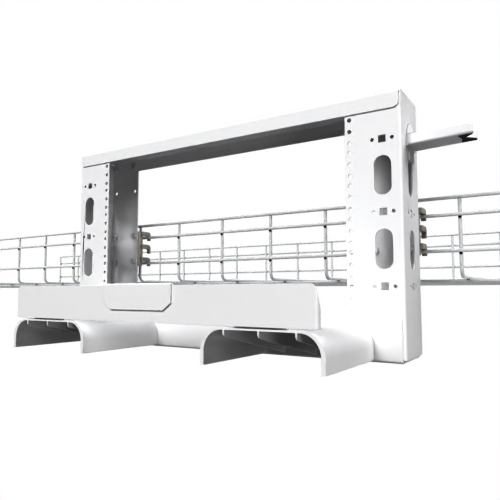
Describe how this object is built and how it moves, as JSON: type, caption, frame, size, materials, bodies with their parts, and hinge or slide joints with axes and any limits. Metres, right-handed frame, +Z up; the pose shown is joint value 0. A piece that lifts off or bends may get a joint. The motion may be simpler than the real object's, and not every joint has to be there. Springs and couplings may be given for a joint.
{
  "type": "overhead cable pathway",
  "caption": "Wire basket cable tray with a rack frame hooked on its side wires, a front cable trough with waterfall saddles, a hung bare plate and a side arm.",
  "frame": {"origin": "middle of the rack opening, on the front face of the uprights that rack equipment bolts to", "axes": "+X along the tray, +Y from the front of the rack frame to the tray, +Z up"},
  "size_m": [1.706, 0.7718, 0.347],
  "materials": {
    "tray_wire": "bright zinc under a thin clear coat",
    "frame_paint": "white powder coat, fine texture",
    "hook_steel": "plated, dull and slightly brown",
    "fastener_zinc": "zinc plated, satin",
    "moulding": "white moulded plastic, satin",
    "plate_finish": "white paint, satin",
    "pad_rubber": "black, matt"
  },
  "bodies": {
    "tray": {"tray_front_top_wire": "tray_wire", "tray_back_top_wire": "tray_wire", "tray_front_rail_wires": "tray_wire", "tray_back_rail_wires": "tray_wire", "tray_front_ribs": "tray_wire", "tray_back_ribs": "tray_wire", "tray_floor_ribs": "tray_wire", "tray_floor_wires": "tray_wire"},
    "rack_frame": {"left_upright": "frame_paint", "right_upright": "frame_paint", "top_cap": "frame_paint", "bottom_apron": "frame_paint", "cap_bolts": "fastener_zinc", "cap_nuts": "fastener_zinc", "apron_bolts": "fastener_zinc", "apron_nuts": "fastener_zinc", "left_hook_bracket": "hook_steel", "left_hook_bolts": "fastener_zinc", "left_hook_nuts": "fastener_zinc", "right_hook_bracket": "hook_steel", "right_hook_bolts": "fastener_zinc", "right_hook_nuts": "fastener_zinc", "left_waterfall": "moulding", "left_waterfall_screws": "fastener_zinc", "right_waterfall": "moulding", "right_waterfall_screws": "fastener_zinc", "trough_wall": "frame_paint", "trough_wall_screws": "fastener_zinc", "side_arm": "frame_paint", "side_arm_screws": "fastener_zinc", "arm_end_pad": "pad_rubber"},
    "plate": {"bare_plate": "plate_finish"}
  },
  "joints": [
    {"name": "rack_lift", "type": "slide", "parent": "tray", "child": "rack_frame", "axis": [0, 0, 1], "range_m": [0, 0.01]},
    {"name": "plate_lift", "type": "slide", "parent": "rack_frame", "child": "plate", "axis": [0, 0, 1], "range_m": [0, 0.015]}
  ]
}
